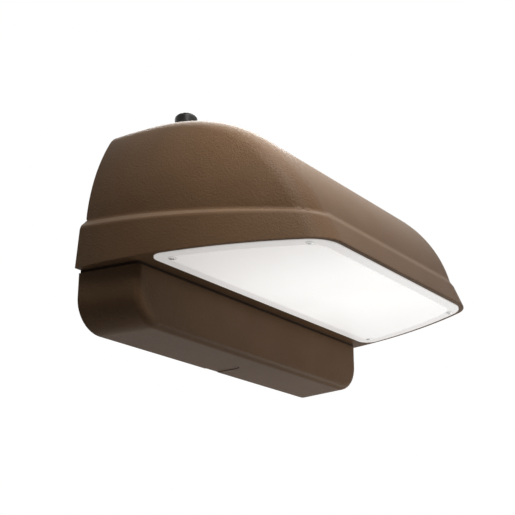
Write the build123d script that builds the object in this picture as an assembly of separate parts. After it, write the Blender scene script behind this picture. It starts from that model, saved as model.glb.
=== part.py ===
from build123d import *
import math
import os

# A wall pack light: a die-cast hood with a flat frosted lens under it, a wiring
# box below its rear edge, and a wall plate that the whole housing hooks on to.
# Millimetres. The wall is the plane Y = 0, the hood's rim is the plane Z = 0,
# the light looks down and its front points along -Y.

# ---------------------------------------------------------------- driving sizes

# Hood, seen from above: two ends curved as arcs, a straight front.
RIM_HALF_WIDTH = 205.5
END_ARC_RADIUS = 470.0
END_ARC_CENTRE_Y = 10.0
HOOD_DEPTH = 240.8
RIM_CORNER_RADIUS = 36.0
RIM_LAND = 1.0

# Skirt and the sloping ledge above it.
SKIRT_END_DRAFT = 3.4
SKIRT_FRONT_DRAFT = 10.6
LEDGE_HEIGHT_AT_WALL = 43.0
LEDGE_HEIGHT_AT_FRONT = 25.0
LEDGE_RISE = 9.0
LEDGE_END_STEP = 8.5
LEDGE_FRONT_STEP = 6.5

# Dome above the ledge.
HOOD_HEIGHT = 158.0
ROOF_FLAT = 50.0
CROWN_RADIUS = 185.0
DOME_HALF_WIDTH = 195.0
DOME_ARC_RADIUS = 521.0
DOME_ARC_CENTRE_Y = 15.0
DOME_END_RADIUS = 216.0
DOME_WIDEST_Z = 39.0
DOME_EDGE_RADIUS = 28.0
CORE_BANDS = 2
CORE_BEVEL = 16.0

# Casting.
WALL = 3.0
FLOOR = 6.0
BACK_EDGE_GAP = 1.2

# Lower wiring box.
BOX_STEP_AT_WALL = 5.5
BOX_STEP_AT_FRONT = 16.5
BOX_DEPTH = 66.6
BOX_DROP = 58.4
BOX_CORNER_RADIUS = 31.0
BOX_FRONT_EDGE_RADIUS = 7.0
BOX_WALL = 3.0
BOX_FLANGE_WIDTH = 8.0
BOX_FLANGE_THICKNESS = 3.0
BOX_GASKET_THICKNESS = 3.5
BOX_GASKET_INSET = 2.0
BOX_GASKET_WIDTH = 5.5
BOX_BOSS_SPAN = 340.0
BOX_BOSS_COUNT = 4
BOX_BOSS_WIDTH = 12.0
BOX_BOSS_DEPTH = 12.0
BOX_BOSS_LENGTH = 14.0
REAR_NOTCH_DEPTH = 52.0
REAR_NOTCH_END_MARGIN = 16.0

# Slot for a surface conduit in the box floor, and the blank that closes it.
SLOT_HALF_WIDTH = 10.5
SLOT_LENGTH = 36.0
BLANK_GAP = 0.5
BLANK_RECESS = 0.5
BLANK_LIP = 4.0
BLANK_LIP_THICKNESS = 1.5

# Lens and its seat.
RIM_STRIP_AT_ENDS = 4.3
RIM_STRIP_AT_FRONT = 5.4
LENS_BACK = 78.7
LENS_FRONT_CORNER_RADIUS = 33.0
LENS_BACK_CORNER_RADIUS = 13.0
LENS_THICKNESS = 2.5
LENS_BORDER = 12.0
LENS_PANEL_STEP = 0.5
LENS_PROUD = 0.5
LENS_EDGE_GAP = 0.7
LENS_GASKET_THICKNESS = 1.5
LENS_GASKET_INSET = 2.5
LENS_GASKET_WIDTH = 9.5
WINDOW_INSET = 13.0
WINDOW_CORNER_RADIUS = 4.0

# Light chamber inside the hood, and the heat sink that roofs it.
CHAMBER_DEPTH = 17.0
CHAMBER_WALL = 3.0
SINK_THICKNESS = 3.5
FIN_COUNT = 11
FIN_PITCH = 22.0
FIN_THICKNESS = 2.2
FIN_HEIGHT = 24.0
FIN_FROM_SINK_BACK = 3.0
FIN_LENGTH = 112.0

# Light boards.
BOARD_COUNT = 2
BOARD_LENGTH = 236.0
BOARD_WIDTH = 44.0
BOARD_THICKNESS = 1.6
LED_COUNT = 14
LED_SIZE = 5.0
LED_HEIGHT = 0.8
LED_FROM_CONNECTOR = 1.0
CONNECTOR_FROM_END = 2.5
CONNECTOR_LENGTH = 8.0
CONNECTOR_WIDTH = 6.0
CONNECTOR_HEIGHT = 4.0
REFLECTOR_THICKNESS = 0.8
REFLECTOR_MARGIN = 1.5
REFLECTOR_CORNER_RADIUS = 3.0
REFLECTOR_BOARD_GAP = 1.0

# Gear bracket with the driver, surge protector and terminal block.
BRACKET_HALF_LENGTH = 148.0
BRACKET_HEIGHT = 76.0
BRACKET_THICKNESS = 1.5
BRACKET_FOOT = 17.0
BRACKET_BACK = 72.0
BRACKET_CORNER_CHAMFER = 8.0
DRIVER_LENGTH = 176.0
DRIVER_HEIGHT = 56.0
DRIVER_DEPTH = 33.0
DRIVER_CENTRE_X = -44.0
DRIVER_BOTTOM = 14.0
DRIVER_EAR = 11.0
DRIVER_EAR_THICKNESS = 2.0
DRIVER_BEVEL = 3.0
SURGE_LENGTH = 44.0
SURGE_HEIGHT = 28.0
SURGE_DEPTH = 24.0
SURGE_CENTRE_X = 96.0
SURGE_BOTTOM = 12.0
SURGE_EAR = 9.0
SURGE_EAR_THICKNESS = 2.0
SURGE_BEVEL = 4.0
TERMINAL_POLES = 3
TERMINAL_PITCH = 13.0
TERMINAL_HEIGHT = 20.0
TERMINAL_DEPTH = 16.0
TERMINAL_CENTRE_X = 96.0
TERMINAL_BOTTOM = 50.0
TERMINAL_EAR = 9.0
TERMINAL_EAR_THICKNESS = 3.0
TERMINAL_EAR_HALF_HEIGHT = 7.0
TERMINAL_MOUTH = 7.0
TERMINAL_MOUTH_DEPTH = 6.0
TERMINAL_WELL_DEPTH = 7.0

# Button photocell in the roof.
PHOTOCELL_X = -124.0
PHOTOCELL_Y = -64.0
PHOTOCELL_STEM_RADIUS = 7.6
PHOTOCELL_STEM_LENGTH = 34.0
PHOTOCELL_STANDOUT = 15.8
PHOTOCELL_CAP_RADIUS = 11.6
PHOTOCELL_CAP_BEVEL = 3.0
PHOTOCELL_CAP_BEVEL_WIDTH = 5.0
PHOTOCELL_PAD_RADIUS = 15.0
PHOTOCELL_PAD_DEPTH = 8.0
LOCKNUT_FLATS = 24.0
LOCKNUT_THICKNESS = 4.0

# Hook hinge at the top of the wall plate.
HINGE_FROM_WALL = 7.0
HINGE_BELOW_TOP = 9.5
HINGE_SPAN = 220.0
HINGE_PIN_RADIUS = 3.0
HINGE_RUNNING_GAP = 0.06
HOOK_WIDTH = 9.0
HOOK_WALL = 2.7
HOOK_ROOT = 14.0
HOOK_BEVEL = 4.0
LUG_WIDTH = 6.0
LUG_SIDE_GAP = 0.5
LUG_RADIUS = 5.6
LUG_BEVEL = 3.0
SWING_DEGREES = 30.0
SWING_WALL_GAP = 0.3

# Wall plate.
PLATE_THICKNESS = 4.0
PLATE_EDGE_GAP = 4.0
PLATE_TOP = 139.0
PLATE_RIB_HEIGHT = 4.0
PLATE_RIB_THICKNESS = 3.0
PLATE_RIB_LOW_Z = 8.0
PLATE_RIB_HIGH_Z = 124.0
PLATE_RIB_PLACES = (-120.0, -75.0, 75.0, 120.0)
PLATE_RIB_HALF_LENGTH = 170.0
OUTLET_BOX_CENTRE_Z = 84.0
WIRE_HOLE_RADIUS = 22.0
ROUND_BOX_SPACING = 88.9
ROUND_BOX_SLOT_LENGTH = 12.0
GANG_BOX_SPACING = 83.3
BOX_HOLE_RADIUS = 2.7
WALL_HOLE_SPACING_X = 300.0
WALL_HOLE_SPACING_Z = 130.0
WALL_HOLE_CENTRE_Z = 35.0
WALL_HOLE_RADIUS = 3.2
WALL_GASKET_THICKNESS = 1.6
WALL_GASKET_WIDTH = 7.0
WALL_GASKET_FROM_SLOTS = 1.5
WALL_GASKET_FROM_HOLES = 1.5
WALL_GASKET_FIT = 0.3

# Locking screw through the hidden end of the box, on to a tab of the plate.
LOCK_SCREW_Y = -16.0
LOCK_SCREW_Z = -24.0
LOCK_BOSS_RADIUS = 6.0
LOCK_BOSS_DEPTH = 6.0
LOCK_HEAD_STANDOFF = 0.8
LOCK_TAB_THICKNESS = 3.0
LOCK_TAB_HEIGHT = 18.0
LOCK_TAB_REACH = 24.0
LOCK_TIP_GAP = 0.3
LOCK_TAB_FROM_END = 16.4

# Fits.
SCREW_RADIUS = 2.5
SCREW_HEAD_RADIUS = 4.6
SCREW_HEAD_HEIGHT = 2.8
CLOSE_FIT = 0.05
JOIN = 0.5

# ------------------------------------------------------------- derived places

END_ARC_CENTRE_X = RIM_HALF_WIDTH - math.sqrt(END_ARC_RADIUS**2 - END_ARC_CENTRE_Y**2)
DOME_ARC_CENTRE_X = DOME_HALF_WIDTH - math.sqrt(DOME_ARC_RADIUS**2 - DOME_ARC_CENTRE_Y**2)
LEDGE_SLOPE = (LEDGE_HEIGHT_AT_WALL - LEDGE_HEIGHT_AT_FRONT) / (HOOD_DEPTH - SKIRT_FRONT_DRAFT)
LEDGE_ANGLE = math.atan(LEDGE_SLOPE)
SINK_TOP = CHAMBER_DEPTH + SINK_THICKNESS
ROOF_INSIDE = HOOD_HEIGHT - WALL
HINGE_Y = -HINGE_FROM_WALL
HINGE_Z = HOOD_HEIGHT - HINGE_BELOW_TOP
BOX_TOP = -BOX_GASKET_THICKNESS
BOX_FLOOR = -BOX_DROP + BOX_WALL
LENS_TOP = LENS_THICKNESS - LENS_PROUD
LENS_SEAT = LENS_TOP + LENS_GASKET_THICKNESS
BOX_BOSSES = [
    -BOX_BOSS_SPAN / 2 + i * BOX_BOSS_SPAN / (BOX_BOSS_COUNT - 1) for i in range(BOX_BOSS_COUNT)
]
BOX_HALF_WIDTH = RIM_HALF_WIDTH - BOX_STEP_AT_WALL
BOX_TAPER = (BOX_STEP_AT_FRONT - BOX_STEP_AT_WALL) / BOX_DEPTH
NOTCH_HALF_WIDTH = RIM_HALF_WIDTH - BOX_STEP_AT_FRONT - REAR_NOTCH_END_MARGIN
GEAR_FACE = -BRACKET_BACK + BRACKET_THICKNESS
FIRST_LED = BOARD_LENGTH / 2 - CONNECTOR_FROM_END - CONNECTOR_LENGTH - LED_FROM_CONNECTOR - LED_SIZE / 2
LED_PITCH = 2 * FIRST_LED / (LED_COUNT - 1)
LOCK_END_X = BOX_HALF_WIDTH + BOX_TAPER * LOCK_SCREW_Y
LOCK_TAB_X = LOCK_END_X - LOCK_TAB_FROM_END
WINDOW_BACK = LENS_BACK + WINDOW_INSET
WINDOW_FRONT = HOOD_DEPTH - RIM_STRIP_AT_FRONT - WINDOW_INSET
BOARD_PITCH = (WINDOW_FRONT - WINDOW_BACK) / BOARD_COUNT
FIN_BACK = WINDOW_BACK - CHAMBER_WALL + FIN_FROM_SINK_BACK
BEHIND = 6.0
BIG = 700.0
EDGE_BAND = 1.0
FORM_LOW = -2.0
FORM_HIGH = HOOD_HEIGHT + 10.0


# ------------------------------------------------------------------ plain tools


def slab(x0, x1, y0, y1, z0, z1):
    """A box between two corners."""
    centre = Pos((x0 + x1) / 2, (y0 + y1) / 2, (z0 + z1) / 2)
    return centre * Box(abs(x1 - x0), abs(y1 - y0), abs(z1 - z0))


def rod(x, y, z0, z1, radius):
    """An upright cylinder."""
    return Pos(x, y, (z0 + z1) / 2) * Cylinder(radius, abs(z1 - z0))


def rod_x(x0, x1, y, z, radius):
    """A cylinder that lies along X."""
    return Pos((x0 + x1) / 2, y, z) * Rot(0, 90, 0) * Cylinder(radius, abs(x1 - x0))


def rod_y(x, y0, y1, z, radius):
    """A cylinder that lies along Y."""
    return Pos(x, (y0 + y1) / 2, z) * Rot(90, 0, 0) * Cylinder(radius, abs(y1 - y0))


def joined(shapes):
    """One compound of separate solids."""
    return Compound(children=[s for shape in shapes for s in shape.solids()])


def arc_x(y, centre_x, centre_y, radius):
    """The X where an end arc passes the depth y."""
    return centre_x + math.sqrt(radius**2 - (y - centre_y) ** 2)


def tapered_face(centre, radius, front, back, front_corner, back_corner=0.0, stretch=1.0):
    """A face with two arc ends and a straight front and back, in plan."""
    centre_x, centre_y = centre
    middle = (front + back) / 2
    ends = [(arc_x(y, centre_x, centre_y, radius), y * stretch) for y in (back, middle, front)]
    right = ThreePointArc(*ends)
    left = ThreePointArc(*[(-x, y) for x, y in reversed(ends)])
    outline = right + Line(right @ 1, left @ 0) + left + Line(left @ 1, right @ 0)
    face = make_face(outline)
    if front_corner > 0:
        face = fillet(face.vertices().group_by(Axis.Y)[0], front_corner)
    if back_corner > 0:
        face = fillet(face.vertices().group_by(Axis.Y)[-1], back_corner)
    return face


# ------------------------------------------------------------------ hood shapes


def rim_face(inset, end_draft=0.0, front_draft=0.0, stretch=1.0):
    """The hood's plan outline, drawn in by an inset and a draft."""
    return tapered_face(
        (END_ARC_CENTRE_X, END_ARC_CENTRE_Y),
        END_ARC_RADIUS - inset - end_draft,
        -(HOOD_DEPTH - inset - front_draft),
        BEHIND,
        RIM_CORNER_RADIUS - inset,
        stretch=stretch,
    )


def ledge_plane(rise):
    """The plane along the sloping ledge, raised by a height."""
    return Plane(
        origin=(0, 0, LEDGE_HEIGHT_AT_WALL + rise),
        x_dir=(1, 0, 0),
        z_dir=(0, -math.sin(LEDGE_ANGLE), math.cos(LEDGE_ANGLE)),
    )


def skirt_form(inset):
    """The skirt with its rim land, drafted faces and sloping ledge."""
    stretch = 1 / math.cos(LEDGE_ANGLE)
    end_draft = SKIRT_END_DRAFT + LEDGE_END_STEP
    front_draft = SKIRT_FRONT_DRAFT + LEDGE_FRONT_STEP
    sections = [
        rim_face(inset),
        Pos(0, 0, RIM_LAND) * rim_face(inset),
        ledge_plane(0) * rim_face(inset, SKIRT_END_DRAFT, SKIRT_FRONT_DRAFT, stretch),
        ledge_plane(LEDGE_RISE) * rim_face(inset, end_draft, front_draft, stretch),
    ]
    return loft(sections, ruled=True)


def bulge(z, inset):
    """How far a dome end reaches from its arc centre at a height."""
    radius = DOME_END_RADIUS - inset
    reach = DOME_ARC_RADIUS - inset
    return reach - radius + math.sqrt(radius**2 - (z - DOME_WIDEST_Z) ** 2)


def end_disc(edge, side):
    """A disc turned from the curve of its edge, placed for one end of the dome."""
    outline = Polyline(edge @ 1, (0, FORM_HIGH), (0, FORM_LOW), edge @ 0) + edge
    disc = revolve(Plane.XZ * make_face(outline), Axis.Z)
    return Pos(side * DOME_ARC_CENTRE_X, DOME_ARC_CENTRE_Y, 0) * disc


def crown_form(inset):
    """The roof and the rounded front, as one profile drawn out along X."""
    top = HOOD_HEIGHT - inset
    radius = CROWN_RADIUS - inset
    centre_z = HOOD_HEIGHT - CROWN_RADIUS
    foot = -ROOF_FLAT - math.sqrt(radius**2 - (FORM_LOW - centre_z) ** 2)
    turn = math.radians(45)
    middle = (-ROOF_FLAT - radius * math.cos(turn), centre_z + radius * math.sin(turn))
    front = ThreePointArc((-ROOF_FLAT, top), middle, (foot, FORM_LOW))
    outline = front + Polyline(front @ 1, (BEHIND, FORM_LOW), (BEHIND, top), (-ROOF_FLAT, top))
    return extrude(Plane.YZ * make_face(outline), BIG / 2, both=True)


def dome_edges(dome):
    """The long edges where the crown meets the two ends."""
    front_edges = [e for e in dome.edges() if e.center().Y < BEHIND - EDGE_BAND and e.center().Z > 0]
    return [e for e in front_edges if abs(e.center().X) > DOME_HALF_WIDTH / 2]


def dome_form():
    """The dome's outside: bulging ends, its long edges rounded."""
    heights = [FORM_LOW, (FORM_LOW + FORM_HIGH) / 2, FORM_HIGH]
    edge = ThreePointArc(*[(bulge(z, 0.0), z) for z in heights])
    dome = crown_form(0.0) & end_disc(edge, 1) & end_disc(edge, -1)
    return fillet(dome_edges(dome), DOME_EDGE_RADIUS)


def core_form(inset):
    """The dome's inside, as the casting core leaves it: banded ends, bevelled edges."""
    step = (FORM_HIGH - FORM_LOW) / CORE_BANDS
    heights = [FORM_LOW + i * step for i in range(CORE_BANDS + 1)]
    edge = Polyline(*[(bulge(z, inset), z) for z in heights])
    core = crown_form(inset) & end_disc(edge, 1) & end_disc(edge, -1)
    return chamfer(dome_edges(core), CORE_BEVEL)


def lens_face(inset, front_corner=None, back_corner=None):
    """The lens outline, which follows the rim, drawn in by an inset."""
    front_round = max(LENS_FRONT_CORNER_RADIUS - inset, 1.0)
    back_round = max(LENS_BACK_CORNER_RADIUS - inset, 1.0)
    return tapered_face(
        (END_ARC_CENTRE_X, END_ARC_CENTRE_Y),
        END_ARC_RADIUS - RIM_STRIP_AT_ENDS - inset,
        -(HOOD_DEPTH - RIM_STRIP_AT_FRONT - inset),
        -(LENS_BACK + inset),
        front_corner or front_round,
        back_corner or back_round,
    )


def hinge_places():
    """The X of each hook."""
    return [-HINGE_SPAN / 2, HINGE_SPAN / 2]


def swing_relief():
    """All that would pass the wall when the housing is swung right out."""
    behind_wall = slab(-BIG, BIG, -SWING_WALL_GAP, BIG, -BIG, BIG)
    pivot = Pos(0, HINGE_Y, HINGE_Z)
    return pivot * Rot(SWING_DEGREES, 0, 0) * pivot.inverse() * behind_wall


def hinge_lugs():
    """The lugs under the roof that hold the hinge pins, two for each hook."""
    lugs = []
    offset_x = HOOK_WIDTH / 2 + LUG_SIDE_GAP + LUG_WIDTH / 2
    for place in hinge_places():
        for side in (-1, 1):
            x = place + side * offset_x
            lug = slab(
                x - LUG_WIDTH / 2, x + LUG_WIDTH / 2, HINGE_Y - LUG_RADIUS, HINGE_Y + LUG_RADIUS,
                HINGE_Z - LUG_RADIUS, ROOF_INSIDE + WALL / 2,
            )
            low_edges = [e for e in lug.edges().filter_by(Axis.X) if e.center().Z < HINGE_Z]
            lugs.append(chamfer(low_edges, LUG_BEVEL))
    return lugs


def pin_length():
    """The length of one hinge pin, through both lugs and the hook."""
    return HOOK_WIDTH + 2 * LUG_SIDE_GAP + 2 * LUG_WIDTH


def chamber_face():
    """The outline round the walls of the light chamber."""
    corner = WINDOW_CORNER_RADIUS + CHAMBER_WALL
    return lens_face(WINDOW_INSET - CHAMBER_WALL, corner, corner)


def cooling_fins():
    """Upright fins above the light boards."""
    first = -(FIN_COUNT - 1) * FIN_PITCH / 2
    fins = []
    for i in range(FIN_COUNT):
        x = first + i * FIN_PITCH
        fin = slab(
            x - FIN_THICKNESS / 2, x + FIN_THICKNESS / 2, -FIN_BACK - FIN_LENGTH, -FIN_BACK,
            SINK_TOP - JOIN, SINK_TOP + FIN_HEIGHT,
        )
        fins.append(fin)
    return fins


def make_heat_sink():
    """The finned plate that roofs the light chamber and carries the light boards."""
    sink = Pos(0, 0, CHAMBER_DEPTH) * extrude(chamber_face(), SINK_THICKNESS)
    for fin in cooling_fins():
        sink = sink + fin
    return sink


def make_hood_housing():
    """The cast hood: shell, rim floor, walls of the light chamber and hinge lugs."""
    outer = dome_form() + skirt_form(0.0)
    outer = outer & slab(-BIG, BIG, -BIG, BIG, 0, BIG)
    room = core_form(WALL) + skirt_form(WALL)
    room = room & slab(-BIG, BIG, -BIG, BIG, FLOOR, BIG)
    shell = outer - room
    shell = shell + extrude(chamber_face(), CHAMBER_DEPTH)
    window = lens_face(WINDOW_INSET, WINDOW_CORNER_RADIUS, WINDOW_CORNER_RADIUS)
    shell = shell - extrude(window, CHAMBER_DEPTH + JOIN)
    shell = shell - extrude(lens_face(-LENS_EDGE_GAP), LENS_SEAT)
    shell = shell - slab(
        -NOTCH_HALF_WIDTH, NOTCH_HALF_WIDTH, -REAR_NOTCH_DEPTH, BEHIND, -JOIN, FLOOR + JOIN
    )
    for lug in hinge_lugs():
        shell = shell + lug
    pad_low = HOOD_HEIGHT - PHOTOCELL_PAD_DEPTH
    shell = shell + rod(PHOTOCELL_X, PHOTOCELL_Y, pad_low, HOOD_HEIGHT, PHOTOCELL_PAD_RADIUS)
    for place in hinge_places():
        half = pin_length() / 2
        bore = HINGE_PIN_RADIUS + CLOSE_FIT
        shell = shell - rod_x(place - half, place + half, HINGE_Y, HINGE_Z, bore)
    stem_hole = PHOTOCELL_STEM_RADIUS + CLOSE_FIT
    shell = shell - rod(PHOTOCELL_X, PHOTOCELL_Y, pad_low - JOIN, HOOD_HEIGHT + JOIN, stem_hole)
    shell = shell - slab(-BIG, BIG, -BACK_EDGE_GAP, BIG, -BIG, BIG)
    return shell - swing_relief()


# ------------------------------------------------------------------ lower box


def box_end_x(y):
    """The X of the box's end face at a depth."""
    return BOX_HALF_WIDTH + BOX_TAPER * y


def box_form(inset, top, front_edge=0.0):
    """The box as one solid form, drawn in by an inset, narrower at the front."""
    front = -(BOX_DEPTH - inset)
    plan = Polyline(
        (box_end_x(BEHIND) - inset, BEHIND), (box_end_x(front) - inset, front),
        (inset - box_end_x(front), front), (inset - box_end_x(BEHIND), BEHIND), close=True,
    )
    low = -BOX_DROP + inset
    form = Pos(0, 0, low) * extrude(make_face(plan), top - low)
    ends = [e for e in form.edges().group_by(Axis.Z)[0] if abs(e.center().X) > EDGE_BAND]
    form = fillet(ends, BOX_CORNER_RADIUS - inset)
    if front_edge > 0:
        rim = [e for e in form.edges().group_by(Axis.Y)[0] if e.center().Z < top - EDGE_BAND]
        form = fillet(rim, front_edge)
    return form


def slot_form(half_width, length, low, high):
    """A U-shaped slot's solid form, open to the wall."""
    straight = length - half_width
    body = Pos(0, (BEHIND - straight) / 2) * Rectangle(2 * half_width, straight + BEHIND)
    face = body + Pos(0, -straight) * Circle(half_width)
    return Pos(0, 0, low) * extrude(face, high - low)


def make_back_box():
    """The cast wiring box: open at the top and at the wall."""
    box = box_form(0.0, BOX_TOP, BOX_FRONT_EDGE_RADIUS)
    flange_low = BOX_TOP - BOX_FLANGE_THICKNESS
    box = box - box_form(BOX_WALL, flange_low)
    mouth = slab(-BIG, BIG, -BIG, BIG, flange_low - JOIN, BOX_TOP)
    box = box - (box_form(BOX_FLANGE_WIDTH, BOX_TOP) & mouth)
    for x in BOX_BOSSES:
        boss = slab(
            x - BOX_BOSS_WIDTH / 2, x + BOX_BOSS_WIDTH / 2, -BOX_DEPTH + BOX_WALL - JOIN,
            -BOX_DEPTH + BOX_WALL + BOX_BOSS_DEPTH, BOX_TOP - BOX_BOSS_LENGTH, BOX_TOP,
        )
        box = box + boss
    box = box - slot_form(SLOT_HALF_WIDTH, SLOT_LENGTH, -BOX_DROP - JOIN, BOX_FLOOR + JOIN)
    inner_end = LOCK_END_X - BOX_WALL - LOCK_BOSS_DEPTH
    box = box + slab(
        inner_end, LOCK_END_X - BOX_WALL / 2,
        LOCK_SCREW_Y - LOCK_BOSS_RADIUS, LOCK_SCREW_Y + LOCK_BOSS_RADIUS,
        LOCK_SCREW_Z - LOCK_BOSS_RADIUS, LOCK_SCREW_Z + LOCK_BOSS_RADIUS,
    )
    bore = SCREW_RADIUS + CLOSE_FIT
    box = box - rod_x(inner_end - JOIN, LOCK_END_X + BOX_WALL, LOCK_SCREW_Y, LOCK_SCREW_Z, bore)
    return box - slab(-BIG, BIG, -BACK_EDGE_GAP, BIG, -BIG, BIG)


def make_box_gasket():
    """The gasket between hood and box, seen as a dark line set back from both."""
    outer = box_form(BOX_GASKET_INSET, JOIN)
    inner = box_form(BOX_GASKET_INSET + BOX_GASKET_WIDTH, JOIN)
    return (outer - inner) & slab(-BIG, BIG, -BIG, -BACK_EDGE_GAP, BOX_TOP, 0)


def make_slot_blank():
    """The blank in the conduit slot, with a lip that rests on the box floor."""
    low = -BOX_DROP + BLANK_RECESS
    plug = slot_form(SLOT_HALF_WIDTH - BLANK_GAP, SLOT_LENGTH - BLANK_GAP, low, BOX_FLOOR)
    lip_top = BOX_FLOOR + BLANK_LIP_THICKNESS
    half = SLOT_HALF_WIDTH + BLANK_LIP
    lip = slab(-half, half, -SLOT_LENGTH - BLANK_LIP, 0, BOX_FLOOR, lip_top)
    return (plug + lip) - slab(-BIG, BIG, -BACK_EDGE_GAP, BIG, -BIG, BIG)


def make_locking_screw():
    """The screw that bears on the wall plate's tab and keeps the housing shut."""
    seat = LOCK_END_X + LOCK_HEAD_STANDOFF
    tip = LOCK_TAB_X + LOCK_TAB_THICKNESS + LOCK_TIP_GAP
    shank = rod_x(tip, seat, LOCK_SCREW_Y, LOCK_SCREW_Z, SCREW_RADIUS)
    head_end = seat + SCREW_HEAD_HEIGHT
    return shank + rod_x(seat, head_end, LOCK_SCREW_Y, LOCK_SCREW_Z, SCREW_HEAD_RADIUS)


# ----------------------------------------------------------------------- lens


def make_lens():
    """The frosted lens: a flat border and a panel that stands a little proud."""
    lens = Pos(0, 0, -LENS_PROUD) * extrude(lens_face(0.0), LENS_THICKNESS)
    low = -LENS_PROUD - LENS_PANEL_STEP
    return lens + Pos(0, 0, low) * extrude(lens_face(LENS_BORDER), LENS_PANEL_STEP + JOIN)


def make_lens_gasket():
    """The flat gasket between the lens and its seat."""
    outer = lens_face(LENS_GASKET_INSET)
    inner = lens_face(LENS_GASKET_INSET + LENS_GASKET_WIDTH)
    return Pos(0, 0, LENS_TOP) * extrude(outer - inner, LENS_GASKET_THICKNESS)


# ---------------------------------------------------------------- light engine


def board_centres():
    """The Y of each board's centre line, evenly spread over the window."""
    return [-(WINDOW_BACK + (i + 0.5) * BOARD_PITCH) for i in range(BOARD_COUNT)]


def make_led_boards():
    """Light boards on the underside of the heat sink."""
    low = CHAMBER_DEPTH - BOARD_THICKNESS
    half_length, half_width = BOARD_LENGTH / 2, BOARD_WIDTH / 2
    return joined(
        [
            slab(-half_length, half_length, y - half_width, y + half_width, low, CHAMBER_DEPTH)
            for y in board_centres()
        ]
    )


def led_places():
    """The centre of every light-emitting package."""
    return [(i * LED_PITCH - FIRST_LED, y) for y in board_centres() for i in range(LED_COUNT)]


def make_led_packages():
    """The light-emitting packages under the boards."""
    top = CHAMBER_DEPTH - BOARD_THICKNESS
    half = LED_SIZE / 2
    return joined(
        [slab(x - half, x + half, y - half, y + half, top - LED_HEIGHT, top) for x, y in led_places()]
    )


def make_board_connectors():
    """One push-in connector on each board, by its left end."""
    top = CHAMBER_DEPTH - BOARD_THICKNESS
    left = -BOARD_LENGTH / 2 + CONNECTOR_FROM_END
    half = CONNECTOR_WIDTH / 2
    return joined(
        [
            slab(left, left + CONNECTOR_LENGTH, y - half, y + half, top - CONNECTOR_HEIGHT, top)
            for y in board_centres()
        ]
    )


def make_reflector_strips():
    """White strips that line the heat sink behind, between and in front of the boards."""
    corner = REFLECTOR_CORNER_RADIUS
    panel = lens_face(WINDOW_INSET + REFLECTOR_MARGIN, corner, corner)
    for y in board_centres():
        panel = panel - Pos(0, y) * Rectangle(BIG, BOARD_WIDTH + 2 * REFLECTOR_BOARD_GAP)
    return Pos(0, 0, CHAMBER_DEPTH - REFLECTOR_THICKNESS) * extrude(panel, REFLECTOR_THICKNESS)


# ------------------------------------------------------------------- gear room


def make_driver_bracket():
    """A bent steel bracket: a foot on the hood's floor and an upright plate."""
    half = BRACKET_HALF_LENGTH
    foot_end = -BRACKET_BACK + BRACKET_FOOT
    foot = slab(-half, half, -BRACKET_BACK, foot_end, FLOOR, FLOOR + BRACKET_THICKNESS)
    top = FLOOR + BRACKET_HEIGHT
    bracket = foot + slab(-half, half, -BRACKET_BACK, GEAR_FACE, FLOOR, top)
    corners = [e for e in bracket.edges().filter_by(Axis.Y) if e.center().Z > top - BRACKET_FOOT]
    return chamfer(corners, BRACKET_CORNER_CHAMFER)


def gear_case(centre_x, bottom, length, height, depth, bevel):
    """A closed case that stands out from the bracket towards the wall."""
    z = FLOOR + bottom
    front = GEAR_FACE + depth
    case = slab(centre_x - length / 2, centre_x + length / 2, GEAR_FACE, front, z, z + height)
    edges = case.edges().filter_by(Axis.X) + case.edges().filter_by(Axis.Z)
    return chamfer([e for e in edges if e.center().Y > front - EDGE_BAND], bevel)


def gear_ear(edge, side, reach, thickness, middle, half_height):
    """A flat ear beside a case, on the bracket's face."""
    return slab(
        edge - side, edge + side * reach, GEAR_FACE, GEAR_FACE + thickness,
        middle - half_height, middle + half_height,
    )


def make_led_driver():
    """The driver: a long case with an ear at each end."""
    driver = gear_case(
        DRIVER_CENTRE_X, DRIVER_BOTTOM, DRIVER_LENGTH, DRIVER_HEIGHT, DRIVER_DEPTH, DRIVER_BEVEL
    )
    middle = FLOOR + DRIVER_BOTTOM + DRIVER_HEIGHT / 2
    for side in (-1, 1):
        edge = DRIVER_CENTRE_X + side * DRIVER_LENGTH / 2
        driver = driver + gear_ear(edge, side, DRIVER_EAR, DRIVER_EAR_THICKNESS, middle, DRIVER_EAR)
    return driver


def make_surge_protector():
    """The surge protector: a small potted block with one ear."""
    block = gear_case(
        SURGE_CENTRE_X, SURGE_BOTTOM, SURGE_LENGTH, SURGE_HEIGHT, SURGE_DEPTH, SURGE_BEVEL
    )
    edge = SURGE_CENTRE_X + SURGE_LENGTH / 2
    middle = FLOOR + SURGE_BOTTOM + SURGE_HEIGHT / 2
    return block + gear_ear(edge, 1, SURGE_EAR, SURGE_EAR_THICKNESS, middle, SURGE_EAR / 2)


def terminal_poles():
    """The X of each pole of the terminal block."""
    first = TERMINAL_CENTRE_X - (TERMINAL_POLES - 1) * TERMINAL_PITCH / 2
    return [first + i * TERMINAL_PITCH for i in range(TERMINAL_POLES)]


def make_terminal_block():
    """The terminal block: a row of poles with wire mouths below and screw wells in front."""
    low = FLOOR + TERMINAL_BOTTOM
    middle = low + TERMINAL_HEIGHT / 2
    front = GEAR_FACE + TERMINAL_DEPTH
    half = TERMINAL_POLES * TERMINAL_PITCH / 2
    left, right = TERMINAL_CENTRE_X - half, TERMINAL_CENTRE_X + half
    block = slab(left, right, GEAR_FACE, front, low, low + TERMINAL_HEIGHT)
    for side, edge in ((-1, left), (1, right)):
        ear = gear_ear(edge, side, TERMINAL_EAR, TERMINAL_EAR_THICKNESS, middle, TERMINAL_EAR_HALF_HEIGHT)
        block = block + ear
    mouth = TERMINAL_MOUTH / 2
    well_floor = front - TERMINAL_WELL_DEPTH
    for x in terminal_poles():
        left, right = x - mouth, x + mouth
        block = block - slab(left, right, front - 3 * mouth, front - mouth, low, low + TERMINAL_MOUTH_DEPTH)
        block = block - slab(left, right, well_floor, front, middle - mouth, middle + mouth)
    return block


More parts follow.
